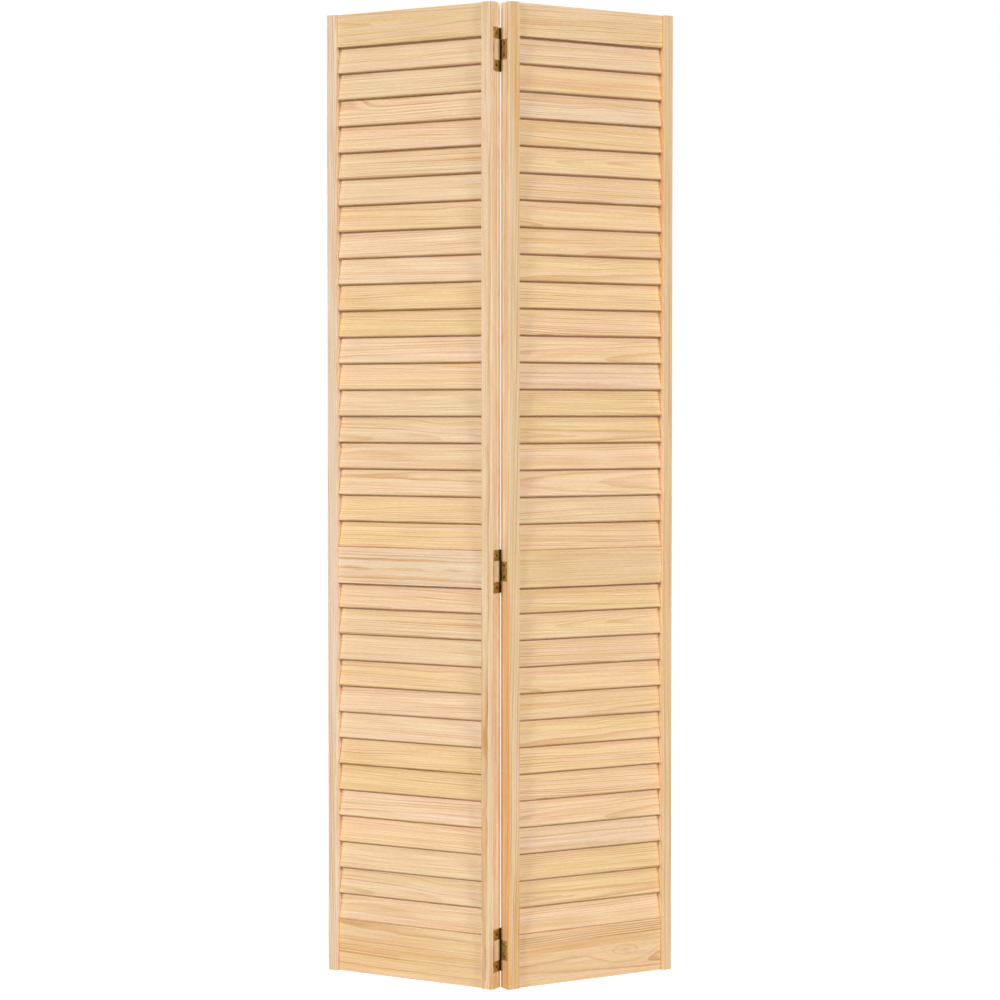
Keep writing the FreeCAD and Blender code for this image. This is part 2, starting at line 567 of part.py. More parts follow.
def screw_pattern_piece():
    """One countersunk screw with a cross recess, head on z = 0, point downwards."""
    body = new_body("hinge_screw")
    head = body.newObject("PartDesign::AdditiveCone", "screw_head")
    head.setExpression("Radius1", "Sizes.screw_shank_diameter / 2")
    head.setExpression("Radius2", "Sizes.screw_head_diameter / 2")
    head.setExpression("Height", "Sizes.hinge_leaf_thickness")
    head.setExpression("Placement", place(z="-Sizes.hinge_leaf_thickness"))
    shank = body.newObject("PartDesign::AdditiveCylinder", "screw_shank")
    shank.setExpression("Radius", "Sizes.screw_shank_diameter / 2")
    shank.setExpression("Height", "Sizes.screw_length - Sizes.screw_point_length"
                                  " - Sizes.hinge_leaf_thickness")
    shank.setExpression("Placement", place(z="-(Sizes.screw_length - Sizes.screw_point_length)"))
    point = body.newObject("PartDesign::AdditiveCone", "screw_point")
    point.setExpression("Radius1", "Sizes.screw_point_diameter / 2")
    point.setExpression("Radius2", "Sizes.screw_shank_diameter / 2")
    point.setExpression("Height", "Sizes.screw_point_length")
    point.setExpression("Placement", place(z="-Sizes.screw_length"))
    for name, length, width in (("recess_long", "span", "width"), ("recess_wide", "width", "span")):
        cut = body.newObject("PartDesign::SubtractiveBox", name)
        cut.setExpression("Length", f"Sizes.screw_recess_{length}")
        cut.setExpression("Width", f"Sizes.screw_recess_{width}")
        cut.setExpression("Height", "Sizes.screw_recess_depth")
        cut.setExpression("Placement", place(f"-Sizes.screw_recess_{length} / 2",
                                             f"-Sizes.screw_recess_{width} / 2", "-Sizes.screw_recess_depth"))
    return body


def hinge_screws(side, screw):
    """The six screws that hold one panel's leaves, flush with the leaves."""
    leaf = LEAF[side]
    screws = []
    for level in HINGE_MIDDLES:
        for name, end in (("low", "-"), ("high", "+")):
            link = doc.addObject("App::Link", f"{side}_{level}_screw_{name}")
            link.LinkedObject = screw
            height = f"Layout.{level}_hinge_middle {end} Layout.{leaf}_screw_reach"
            quarter_turn = f" * {place(axis='0; 1; 0', angle=f'{SIDES[side] * -90}')}"
            set_in_panel(link, side, "Layout.hinge_edge - Sizes.hinge_leaf_thickness",
                         f"-(Sizes.pin_setback + Sizes.{leaf}_screw_inset)", height, quarter_turn)
            screws.append(link)
    return group(f"{side}_hinge_screws", screws)


# ---------------------------------------------------------------- the assembly

parts = []
for side in SIDES:
    parts += [stile(side, kind) for kind in ("hinge", "outer")]
    parts += [rail(side, level) for level in RAIL_HEIGHTS]
    parts.append(rail_dowels(side))
    for bay in ("upper", "lower"):
        count = int(sizes.get(f"{bay}_slat_count"))
        parts += [slats(side, bay, first, min(first + 1, count)) for first in range(1, count + 1, 2)]
for level in HINGE_MIDDLES:
    parts += [hinge_leaf(side, level) for side in SIDES]
    parts.append(hinge_pin(level))
pattern_screw = screw_pattern_piece()
parts += [hinge_screws(side, pattern_screw) for side in SIDES]
doc.recompute()

# ---------------------------------------------------------------- check, then write

for thing in doc.Objects:
    if "Invalid" in thing.State or "Error" in thing.State:
        raise RuntimeError(f"{thing.Label} did not build: {thing.State}")
for part in parts:
    if part.Shape.isNull() or not part.Shape.isValid() or not part.Shape.Solids:
        raise RuntimeError(f"{part.Label} has no valid solid")

os.makedirs("parts", exist_ok=True)
for part in parts:
    part.Shape.exportStep(f"parts/{part.Label}.step")
    print(f"{part.Label}: {len(part.Shape.Solids)} solid(s), {part.Shape.Volume / 1000:.1f} cm3")
print(f"{len(parts)} nodes, {sum(len(part.Shape.Solids) for part in parts)} solids")
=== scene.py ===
# %% [markdown]
# # A louvered pine bifold door
#
# Two narrow panels of bare pine are hinged edge to edge.  Each panel is a frame of two upright
# stiles and three level rails, filled with thin slats that lean one over the next.  The wooden
# pieces, their joints and their sizes come ready made from the construction, so this lesson does
# what is left: the grain of every board, the brass of the hinges, small metal pieces that deserve
# finer modelling than a construction model has, and a plain studio to look at them in.
#
# Every length is in metres, and a piece that is added stands where the construction says.

# %% Load the construction
import json
import math
import random

import bpy
from mathutils import Matrix, Vector


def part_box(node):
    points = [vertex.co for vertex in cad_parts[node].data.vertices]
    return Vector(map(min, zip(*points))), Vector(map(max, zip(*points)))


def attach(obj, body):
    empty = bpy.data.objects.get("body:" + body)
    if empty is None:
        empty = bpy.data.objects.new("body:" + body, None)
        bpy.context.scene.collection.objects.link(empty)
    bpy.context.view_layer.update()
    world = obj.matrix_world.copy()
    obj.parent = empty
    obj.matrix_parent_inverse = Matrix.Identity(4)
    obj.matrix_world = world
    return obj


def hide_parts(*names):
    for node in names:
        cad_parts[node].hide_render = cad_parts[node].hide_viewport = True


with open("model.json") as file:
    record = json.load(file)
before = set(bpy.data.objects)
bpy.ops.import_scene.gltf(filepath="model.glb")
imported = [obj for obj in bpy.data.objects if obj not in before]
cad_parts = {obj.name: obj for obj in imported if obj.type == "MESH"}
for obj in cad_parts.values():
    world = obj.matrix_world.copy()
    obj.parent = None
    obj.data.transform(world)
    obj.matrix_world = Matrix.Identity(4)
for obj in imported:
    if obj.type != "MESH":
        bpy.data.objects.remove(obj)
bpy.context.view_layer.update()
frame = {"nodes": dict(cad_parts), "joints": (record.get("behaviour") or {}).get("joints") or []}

nodes = frame["nodes"]
MM = 0.001

# %% [markdown]
# ## Where a panel lies
#
# The door stands part folded, each panel turned out of flat about the hinge pins.  Grain follows
# the boards and not the room, so every pattern first needs the place of a point in its own flat
# panel: how far it is from the pins along the panel, how deep, and how high.  The pins are the
# axis of the only joint.  The lower limit of its travel is the door laid flat, and each panel
# takes half of that turn.

# %% Find the pins and the turn of the panels
SIDES = {"left": -1, "right": 1}
LEVELS = ("top", "middle", "bottom")

fold_joint = frame["joints"][0]
pin_axis = Vector(fold_joint["pos_m"]) * Vector((1, 1, 0))
FOLD = math.radians(-fold_joint["range_deg"][0] / 2)
print(f"pins at y = {pin_axis.y:.4f} m, panels turned {math.degrees(FOLD):.0f} degrees")


def swing(side):
    """The matrix that turns a flat panel about the pins to where it stands."""
    return Matrix.Translation(pin_axis) @ Matrix.Rotation(SIDES[side] * FOLD, 4, "Z")


# %% [markdown]
# ## Shader arithmetic
#
# A pattern is a formula, and a formula is easier to read as `ring * 0.5 + ripple` than as a row of
# Math nodes.  `Wire` holds one output of a node, and arithmetic on it adds the Math node that does
# it.  `Finish` holds a material, or the surround, and adds every other kind of node.

# %% Arithmetic on a socket
class Wire:
    """One output of a shader node; plain arithmetic on it adds Math nodes."""

    def __init__(self, finish, socket):
        self.finish = finish
        self.socket = socket

    def math(self, operation, *values):
        inputs = dict(enumerate(values))
        return self.finish.add("Math", inputs, operation=operation)

    def __add__(self, other):
        return self.math("ADD", self, other)

    def __radd__(self, other):
        return self.math("ADD", other, self)

    def __sub__(self, other):
        return self.math("SUBTRACT", self, other)

    def __rsub__(self, other):
        return self.math("SUBTRACT", other, self)

    def __mul__(self, other):
        return self.math("MULTIPLY", self, other)

    def __rmul__(self, other):
        return self.math("MULTIPLY", other, self)

    def __truediv__(self, other):
        return self.math("DIVIDE", self, other)

    def __rtruediv__(self, other):
        return self.math("DIVIDE", other, self)

    def root(self):
        return self.math("SQRT", self)

    def rounded(self):
        return self.math("ROUND", self)

    def floor(self):
        return self.math("FLOOR", self)

    def exponential(self):
        return self.math("EXPONENT", self)

    def largest(self, other):
        return self.math("MAXIMUM", self, other)

    def between(self, low, high, start=0.0, end=1.0):
        """A smooth step: `start` below `low`, `end` above `high`."""
        inputs = {"Value": self, "From Min": low, "From Max": high, "To Min": start, "To Max": end}
        return self.finish.add("MapRange", inputs, interpolation_type="SMOOTHSTEP")


print("arithmetic ready")

# %% Every other node
class Finish:
    """A material, or the surround, while its nodes are being added."""

    def __init__(self, owner):
        owner.use_nodes = True
        self.owner = owner
        self.tree = owner.node_tree

    def put(self, socket, value):
        """Link a wire to a socket, or set the socket's own value."""
        if isinstance(value, Wire):
            self.tree.links.new(value.socket, socket)
        else:
            socket.default_value = value

    def add(self, kind, inputs=None, output=0, **settings):
        """Add a node: settings first, then its sockets by name or number."""
        node = self.tree.nodes.new("ShaderNode" + kind)
        for name, value in settings.items():
            setattr(node, name, value)
        for name, value in (inputs or {}).items():
            self.put(node.inputs[name], value)
        return Wire(self, node.outputs[output])

    def surface(self, **values):
        """Set sockets of the material's own shader; an underscore stands for a space."""
        shader = self.tree.nodes["Principled BSDF"]
        for name, value in values.items():
            self.put(shader.inputs[name.replace("_", " ")], value)

    def show(self, shader, output="Material Output"):
        """Put another shader in the place of the first one."""
        self.put(self.tree.nodes[output].inputs["Surface"], shader)

    def blend(self, factor, first, second):
        """Mix two colours."""
        inputs = {"Factor": factor, 6: first, 7: second}
        return self.add("Mix", inputs, output=2, data_type="RGBA")

    def noise(self, place, detail=2.0, roughness=0.5):
        """Soft noise from 0 to 1, about 0.5, one feature per unit of place."""
        inputs = {"Vector": place, "Scale": 1.0, "Detail": detail, "Roughness": roughness}
        return self.add("TexNoise", inputs, noise_dimensions="3D")

    def point(self, x, y, z):
        return self.add("CombineXYZ", {0: x, 1: y, 2: z})

    def parts(self, vector):
        """The three numbers of a vector or the three channels of a colour."""
        node = self.add("SeparateXYZ", {0: vector}).socket.node
        return [Wire(self, output) for output in node.outputs]


def new_finish(name):
    return Finish(bpy.data.materials.new(name))


def screen(red, green, blue):
    """A colour given as it looks on a screen, 0 to 255, as light for a shader."""
    channels = [channel / 255 for channel in (red, green, blue)]
    linear = [c / 12.92 if c <= 0.04045 else ((c + 0.055) / 1.055) ** 2.4 for c in channels]
    return (*linear, 1.0)


print("shader helpers ready")

# %% [markdown]
# ## What pine looks like
#
# A board is a slice of a trunk, and what shows on it is where the yearly rings meet the cut.  So
# the pattern is worked out as in the tree: rings about a pith that runs along the board somewhere
# behind its face, a little conical, wandering as it grows.  On a face near the pith the rings run
# out as tall arches; on one beside it they are fine parallel lines; on an end they are arcs, and
# all three come from the same formula.
#
# Each ring starts as pale spring wood, darkens slowly into late wood and stops sharply where the
# next spring begins.  A knot pushes the rings aside, so adding a hump to the distance bends them
# round it and closes a few loops.  Over that lie fine fibres along the grain, and slow changes
# from straw to peach.

# %% Colours and sizes of pine
SPRING_WOOD = screen(248, 219, 176)
LATE_WOOD = screen(205, 146, 82)
STRAW = screen(243, 214, 140)
PEACH = screen(252, 206, 176)
SAPWOOD = screen(244, 226, 204)
HEARTWOOD = screen(238, 184, 118)

RING_WIDTH = 3.6 * MM
RING_STRAY = 1.6                 # how far a ring strays from its even place, in rings
RING_STRAY_PACE = 140            # how fast that changes, per metre
LATE_DARKENS = (0.3, 0.9)        # from when to when in its year a ring darkens
LATE_STOPS = (0.92, 1.0)
HEART_EDGE = (0.52, 0.72)        # of its noise, where the colour turns to heartwood
PITH_WANDER = 14 * MM
RIPPLE = 1.6 * MM
KNOT_LENGTH = 55 * MM
KNOT_HEIGHT = 16 * MM

# how fast each pattern changes, per metre: along the grain, and across it
WANDER_PACE = (2.6, 9)
RIPPLE_PACE = (16, 70)
STRENGTH_PACE = (3, 30)
STREAK_PACE = (6, 430)
FIBRE_PACE = (90, 1000)
CLOUD_PACE = (7, 45)
BAND_PACE = (2.5, 160)
HEART_PACE = (1.6, 55)

# how far each pattern shows in the colour
SPRING_SHARE = 0.4
BAND_HUE = 3
EVEN_DARKNESS = 0.16
STREAK_DARKNESS = 0.95
CLOUD_DARKNESS = 0.3
FIBRE_SHADE = 0.3
print(f"a ring every {RING_WIDTH / MM:.1f} mm")


# %% Rings and late wood
def grain_noise(finish, place, pace, detail=2.0, apart=0.0):
    """Noise drawn out along the grain; `apart` keeps one pattern clear of the others."""
    far, across, deep = place
    along_pace, across_pace = pace
    point = finish.point(far * along_pace, across * across_pace, deep * across_pace + apart)
    return finish.noise(point, detail=detail)


def ring_distance(finish, along, across, deep, board):
    """How far a place in its own board is from the pith, with the hump of its knot."""
    place = (along + board["shift"], across, deep)
    wander = grain_noise(finish, place, WANDER_PACE, detail=1.0)
    ripple = grain_noise(finish, place, RIPPLE_PACE)
    off_pith = across - board["pith_across"] + (wander - 0.5) * PITH_WANDER
    behind = deep + board["pith_behind"]
    distance = (off_pith * off_pith + behind * behind).root()
    distance = distance + along * board["taper"] + (ripple - 0.5) * RIPPLE
    knot_u = (along - board["knot_along"]) / KNOT_LENGTH
    knot_v = (across - board["knot_across"]) / KNOT_HEIGHT
    hump = (0 - knot_u * knot_u - knot_v * knot_v).exponential()
    return distance + hump * board["knot"]


def late_wood(finish, distance, place, board):
    """How much late wood shows: it darkens slowly within a ring and stops sharply at its end."""
    stray = finish.noise(finish.point(distance * RING_STRAY_PACE, board["shift"], 0.0), detail=1.0)
    rings = distance / RING_WIDTH + stray * RING_STRAY
    year = rings.floor()
    season = rings - year
    weather = finish.add("TexWhiteNoise", {"W": year + board["shift"]}, noise_dimensions="1D")
    late = season.between(*LATE_DARKENS) * season.between(*LATE_STOPS, start=1.0, end=0.0) * weather
    strength = grain_noise(finish, place, STRENGTH_PACE, detail=1.0)
    return late * strength.between(0.3, 0.7, start=0.4, end=1.0) * board["contrast"]


print("rings ready")


# %% The colour and surface of a board
def pine_colour(finish, along, across, deep, board):
    """Colour and fibre height of pine at a place in its own board; `board` holds its chances."""
    distance = ring_distance(finish, along, across, deep, board)
    place = (along + board["shift"], across, deep)
    late = late_wood(finish, distance, place, board)
    streak = grain_noise(finish, place, STREAK_PACE)
    fibre = grain_noise(finish, place, FIBRE_PACE)
    cloud = grain_noise(finish, place, CLOUD_PACE, apart=5.0)
    band = grain_noise(finish, place, BAND_PACE, apart=9.0)
    heart = grain_noise(finish, place, HEART_PACE, apart=20.0)

    base = finish.blend((band - 0.5) * BAND_HUE + board["warmth"], STRAW, PEACH)
    base = finish.blend(SPRING_SHARE, base, SPRING_WOOD)
    base = finish.blend(board["pale"], base, SAPWOOD)
    red = heart.between(*HEART_EDGE) * board["heart"] + board["red"]
    base = finish.blend(red, base, HEARTWOOD)
    dark = late + (streak - 0.5) * STREAK_DARKNESS + (cloud - 0.5) * CLOUD_DARKNESS + EVEN_DARKNESS
    colour = finish.blend(dark, base, LATE_WOOD)
    shade = (fibre - 0.5) * FIBRE_SHADE + board["tone"]
    colour = finish.add("VectorMath", {0: colour, "Scale": shade}, operation="SCALE")
    return colour, fibre


def pine_surface(finish, colour, fibre):
    """Bare sanded pine: dull, with the fibres just proud of the surface."""
    rough = fibre.between(0.2, 0.8, start=0.5, end=0.66)
    bump = finish.add("Bump", {"Height": fibre, "Strength": 0.12, "Distance": 0.1 * MM})
    finish.surface(Base_Color=colour, Roughness=rough, Normal=bump)


print("pine ready")

# %% [markdown]
# ## Boards of the frame
#
# A stile's grain runs up, a rail's runs along.  Each stile and rail is its own board, so each gets
# its own pith, taper, tone and luck, drawn once from a seeded generator, and a finish of its own.
# A wide board can cross from pale outer wood to heartwood, and the two hinge stiles do: beside the
# pins their edge is straw coloured above and redder at the foot.

# %% A point's place in its own panel
def flat_panel(finish, side):
    """How far a point is from the pins along its panel, how deep in it and how high."""
    turn = -SIDES[side] * FOLD
    inputs = {
        "Vector": finish.add("TexCoord", output="Object"),
        "Location": -(Matrix.Rotation(turn, 3, "Z") @ pin_axis),
        "Rotation": (0.0, 0.0, turn),
    }
    x, y, z = finish.parts(finish.add("Mapping", inputs, vector_type="POINT"))
    return x * SIDES[side], y, z


print("places ready")

# %% The chances of each board
chance = random.Random(11)

# boards that stand out: paler or darker than the rest, or with grain that swirls by a buried knot
KNOWN_BOARDS = {
    "left_outer_stile": {"pale": 0.8, "heart": 0.2, "tone": 1.0},
    "left_hinge_stile": {"pale": 0.35},
    "left_middle_rail": {"pale": 0.5, "heart": 0.3, "tone": 1.03},
    "right_outer_stile": {"pale": 0.2, "tone": 0.95},
    "right_hinge_stile": {"heart": 0.9},
    "right_bottom_rail": {"knot_along": 0.29, "knot_across": -0.006, "knot": 0.015,
                          "contrast": 1.3, "tone": 0.97},
}


def draw_board(name):
    """The chances of one board of the frame."""
    board = {
        "shift": chance.uniform(1, 60),
        "pith_across": chance.uniform(-0.05, 0.05),
        "pith_behind": chance.uniform(0.03, 0.09),
        "taper": chance.uniform(-0.02, 0.02),
        "knot_along": 0.0,
        "knot_across": 0.0,
        "knot": 0.0,
        "contrast": chance.uniform(0.6, 1.0),
        "tone": chance.uniform(0.97, 1.02),
        "warmth": chance.uniform(0.2, 0.8),
        "pale": chance.uniform(0.0, 0.25),
        "heart": chance.uniform(0.3, 0.7),
        "red": 0.0,
    }
    board.update(KNOWN_BOARDS.get(name, {}))
    return board


print(f"{len(KNOWN_BOARDS)} boards stand out")

# %% Straw coloured edges
# the heights between which the edge beside the pins turns from heartwood to straw
STRAW_EDGES = {"left_hinge_stile": (0.0, 0.1), "right_hinge_stile": (0.75, 0.95)}
EDGE_DEPTH = (-13 * MM, -8 * MM)          # the edge, measured from the middle of the stile
STRAW_CHANGES = {"pale": 0.35, "warmth": -0.5, "tone": 0.03}
PATCH_PACE = (14, 60)
SPOT_RED = 0.4                            # of the few spots in the straw
EVEN_RED = 0.3                            # of the heartwood all over
PATCH_RED = 0.8                           # of its patches


def colour_edge(finish, board, edge, straw, place):
    """Change a board's chances on its edge: straw where `straw` is 1, and heartwood elsewhere."""
    for trait, change in STRAW_CHANGES.items():
        board[trait] = straw * change + board[trait]
    board["heart"] = (1 - straw) * board["heart"]
    patch = grain_noise(finish, place, PATCH_PACE)
    spots = straw * patch.between(0.5, 0.7) * SPOT_RED
    board["red"] = (edge - straw) * (patch * PATCH_RED + EVEN_RED) + spots


print(f"straw on the edges of {len(STRAW_EDGES)} stiles")


# %% Coat the stiles and rails
def stile_finish(name, side):
    """Pine with its grain upwards."""
    finish = new_finish(name)
    low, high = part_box(name)
    middle = (swing(side).inverted() @ ((low + high) / 2)) * SIDES[side]
    along, deep, up = flat_panel(finish, side)
    across = along - middle.x
    board = draw_board(name)
    if name in STRAW_EDGES:
        edge = across.between(*EDGE_DEPTH, start=1.0, end=0.0)
        straw = edge * up.between(*STRAW_EDGES[name])
        colour_edge(finish, board, edge, straw, (up, along, deep))
    pine_surface(finish, *pine_colour(finish, up, across, deep, board))
    return finish.owner


def rail_finish(name, side):
    """Pine with its grain along the panel."""
    finish = new_finish(name)
    low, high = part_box(name)
    along, deep, up = flat_panel(finish, side)
    across = up - (low.z + high.z) / 2
    pine_surface(finish, *pine_colour(finish, along, across, deep, draw_board(name)))
    return finish.owner


def coat(piece, material):
    """Give a piece its finish."""
    piece.data.materials.clear()
    piece.data.materials.append(material)


for side in SIDES:
    for kind in ("hinge", "outer"):
        name = f"{side}_{kind}_stile"
        coat(nodes[name], stile_finish(name, side))
    for level in LEVELS:
        name = f"{side}_{level}_rail"
        coat(nodes[name], rail_finish(name, side))
print("stiles and rails coated")

# %% [markdown]
# ## Slats
#
# The slats of one opening lean alike and lie one behind the next like cards.  Measured square to
# their faces they are evenly spaced, so the distance in that direction, counted in slat spacings
# and rounded, numbers the slats.  A noise that reads only this number gives each slat its own
# board, though a whole opening shares one material.

# %% Twelve chances for every slat
# numbers that keep the luck of one opening, and of one trait, apart from the others
PANEL_SEED = 17.0
BAY_SEEDS = {"upper": 0.0, "lower": 3.0}
TRAIT_SEEDS = (0.21, 0.47, 0.67, 0.83)


def slat_chances(finish, number, seed):
    """The traits of a slat's board, drawn by a noise that reads its number."""
    luck = [
        finish.parts(finish.add("TexWhiteNoise", {"W": number + seed + extra}, output=1,
                                noise_dimensions="1D"))
        for extra in TRAIT_SEEDS
    ]
    (a, b, c), (d, e, f), (g, h, i), (j, k, l) = luck
    return {
        "shift": a * 50 + 1,
        "pith_across": (b - 0.5) * 0.15,
        "pith_behind": c * 0.05 + 0.012,
        "taper": (d - 0.5) * 0.05,
        "knot_along": e * 0.36 + 0.03,
        "knot_across": (f - 0.5) * 0.05,
        "knot": g.between(0.5, 0.95) * 0.006,
        "contrast": h * 0.5 + 0.5,
        "tone": i * 0.06 + 0.96,
        "warmth": j * 0.5 + 0.2,
        "pale": k.between(0.4, 1.0, start=0.0, end=0.35),
        "heart": l * 0.5 + 0.1,
        "red": 0.0,
    }


print("chances ready")

# %% Coat the slats
SLAT_THICKNESS = 6.35 * MM
SLAT_GAP = 3.2 * MM
SPACING = SLAT_THICKNESS + SLAT_GAP


def slat_finish(side, bay):
    """Pine for one opening, in which each slat is numbered and gets its own board."""
    finish = new_finish(f"{side}_{bay}_slats")
    first, second = (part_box(f"{side}_{bay}_slats_{pair}") for pair in ("01_02", "03_04"))
    pitch = (first[0].z - second[0].z) / 2
    tilt = math.asin(SPACING / pitch)
    # the upper slat of the first pair has its middle half a pitch above the middle of the pair
    top_middle = (first[0].z + first[1].z + pitch) / 2
    middle = swing(side).inverted() @ ((first[0] + first[1]) / 2)
    along, deep, up = flat_panel(finish, side)
    deep = deep - middle.y
    up = up - top_middle
    square = deep * math.cos(tilt) - up * math.sin(tilt)
    number = (square / SPACING).rounded()
    thick = square - number * SPACING
    wide = up * math.cos(tilt) + deep * math.sin(tilt) + number * (pitch * math.cos(tilt))
    seed = PANEL_SEED * (1 + SIDES[side]) + BAY_SEEDS[bay]
    board = slat_chances(finish, number, seed)
    pine_surface(finish, *pine_colour(finish, along, wide, thick, board))
    return finish.owner


for side in SIDES:
    for bay in BAY_SEEDS:
        material = slat_finish(side, bay)
        for name, node in nodes.items():
            if name.startswith(f"{side}_{bay}_slat"):
                coat(node, material)
print(f"slats coated, {SPACING / MM:.2f} mm from face to face")

# %% [markdown]
# ## Dowels
#
# The dowels are birch: close and even, with hardly any figure.  They are glued out of sight, and
# show only when the frame is taken apart.

# %% Finish for the dowels
PORE_PACE = (60, 900)
DARK_BIRCH = screen(206, 178, 138)
PALE_BIRCH = screen(226, 203, 166)


def birch_finish(side):
    """Birch with its grain along the panel, as every dowel lies."""
    finish = new_finish(f"{side}_birch")
    pore = grain_noise(finish, flat_panel(finish, side), PORE_PACE)
    colour = finish.blend(pore, DARK_BIRCH, PALE_BIRCH)
    finish.surface(Base_Color=colour, Roughness=pore.between(0.2, 0.8, start=0.5, end=0.65))
    return finish.owner


for side in SIDES:
    coat(nodes[f"{side}_rail_dowels"], birch_finish(side))
print("dowels coated")

# %% [markdown]
# ## Antique brass
#
# The hinges are pressed from sheet steel and plated in antique brass: a thin dark yellow metal
# that has been relieved, so it is brighter where it was rubbed and brown where it was not.  Metal
# takes its colour from what it reflects, so the finish is a full metal with a dark gold colour, and
# noise decides how dark and how rough each patch is.  Round the pins, deep in the fold between the
# panels, shade is painted in: the distance from the pins turns the metal brown there.

# %% Finish for the hinges
# painted shade: the dark brown of the fold round the pins, not a colour of the plating
PIN_SHADE_BROWN = screen(66, 48, 22)
PIN_SHADE_EDGE = (4 * MM, 7 * MM)            # from the axis of the pins, where the painted shade fades out
BRASS_PATCH_PACE = 180.0                  # patches and specks, per metre
BRASS_SPECK_PACE = 1500.0
RUBBED_SMOOTHER = 0.08                    # than the roughness of the whole
UNRUBBED_ROUGHER = 0.12


def brass_finish(name, dark, bright, rough):
    """Plated metal, `bright` where it was rubbed and `dark` where it was not, with painted shade
    round the pins.
    """
    finish = new_finish(name)
    place = finish.add("TexCoord", output="Object")
    scaled = finish.add("VectorMath", {0: place, "Scale": BRASS_PATCH_PACE}, operation="SCALE")
    patch = finish.noise(scaled, detail=4.0, roughness=0.6)
    fine = finish.add("VectorMath", {0: place, "Scale": BRASS_SPECK_PACE}, operation="SCALE")
    speck = finish.noise(fine)
    colour = finish.blend(patch.between(0.35, 0.65), dark, bright)
    x, y, _ = finish.parts(place)
    beside, before = x - pin_axis.x, y - pin_axis.y
    off_pin = (beside * beside + before * before).root()
    # painted shade: the metal turns dark brown near the pins, where the fold between the panels
    # closes
    colour = finish.blend(off_pin.between(*PIN_SHADE_EDGE), PIN_SHADE_BROWN, colour)
    bump = finish.add("Bump", {"Height": speck, "Strength": 0.2, "Distance": 0.05 * MM})
    roughness = patch.between(0.3, 0.7, start=rough + UNRUBBED_ROUGHER, end=rough - RUBBED_SMOOTHER)
    finish.surface(Base_Color=colour, Metallic=1.0, Normal=bump, Roughness=roughness)
    return finish.owner


leaf_brass = brass_finish("leaf_brass", screen(150, 126, 70), screen(206, 178, 106), 0.42)
pin_brass = brass_finish("pin_brass", screen(128, 104, 60), screen(182, 152, 92), 0.38)
screw_brass = brass_finish("screw_brass", screen(78, 62, 36), screen(132, 106, 62), 0.4)
for level in LEVELS:
    coat(nodes[f"{level}_hinge_pin"], pin_brass)
print("brass ready")

# %% [markdown]
# ## Hinge leaves
#
# The leaves of this hinge need no recess in the wood: both are cut from one strip, so that the
# inner leaf lies in the window of the outer one and both fold into the thickness of one sheet.
# Each leaf is flat sheet whose end is rolled round the pin, and only these rolls lie in shallow
# grooves in the stiles.
#
# The sheet could be a cut block with a tube stuck on, but then the roll would have no seam and no
# bend.  It is made here as the press makes it.  A flat outline is laid down in the middle of the
# sheet, its edge is spun round a small centre to turn aside, and spun on round the pin until it
# nearly meets the leaf again.  Solidify then gives the whole surface the thickness of the sheet.
# Lengths in this step are millimetres until the leaf is put in its place.

# %% Sizes of the hinges
PANEL_GAP = 1.5                  # between the edges of the shut panels, filled by one sheet
PIN_SETBACK = 0.3                # axis of the pins behind the back faces
SHEET = 1.1
KNUCKLE_RADIUS = 2.15
ROLL_RADIUS = KNUCKLE_RADIUS - SHEET / 2
NECK_RADIUS = 0.6                # of the small bend where the sheet turns aside
HINGE_HEIGHT = 88.0
ARM_HEIGHT = 22.3
KNUCKLE_GAP = 0.4                # between the rolls of the two leaves, along the pin
PLATE_GAP = 1.75                 # between the arms and the plate of the inner leaf
LEAF_DEPTH = 28.0                # onto the edge of the door, from its back face
FAR_STRIP = 2.2
WINDOW_GAP = 0.7                 # from the inner leaf to the far strip
OUTER_TIP = -(PIN_SETBACK + LEAF_DEPTH)
INNER_TIP = OUTER_TIP + FAR_STRIP + WINDOW_GAP
COLLAR = -3.4                    # where the inner leaf widens to its knuckle
INNER_PLATE = (ARM_HEIGHT + PLATE_GAP, HINGE_HEIGHT - ARM_HEIGHT - PLATE_GAP)
INNER_KNUCKLE = (ARM_HEIGHT + KNUCKLE_GAP, HINGE_HEIGHT - ARM_HEIGHT - KNUCKLE_GAP)
CORNER = 2.2                     # round of the corners at the tip of a leaf
SEAM_ANGLE = math.radians(-72)   # where the roll stops, seen from the pin on the left leaf

# the sheet of the left leaf lies against the left panel, so its middle is a little off the pin
SHEET_MIDDLE = -PANEL_GAP / 2 + SHEET / 2
NECK_SIDE = SHEET_MIDDLE - NECK_RADIUS
NECK_START = -math.sqrt((ROLL_RADIUS + NECK_RADIUS) ** 2 - NECK_SIDE ** 2)
NECK_TURN = math.atan2(-NECK_START, -NECK_SIDE)
ROLL_START = math.atan2(NECK_START, NECK_SIDE)
ROLL_TURN = 2 * math.pi - (SEAM_ANGLE - ROLL_START)
hinge_foot = {level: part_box(f"{level}_hinge_outer_leaf")[0].z for level in LEVELS}
print(f"the sheet turns aside {-NECK_START:.2f} mm before the pin")
print(f"and rolls {math.degrees(ROLL_TURN):.0f} degrees round it")


# %% Helpers for editing a mesh
TOUCH = 0.01                     # places nearer than this count as the same


def near(value, target):
    return abs(value - target) < TOUCH


def begin(name):
    """Call the object that was just added by its name and open it for editing."""
    piece = bpy.context.object
    piece.name = piece.data.name = name
    bpy.ops.object.mode_set(mode="EDIT")
    return piece


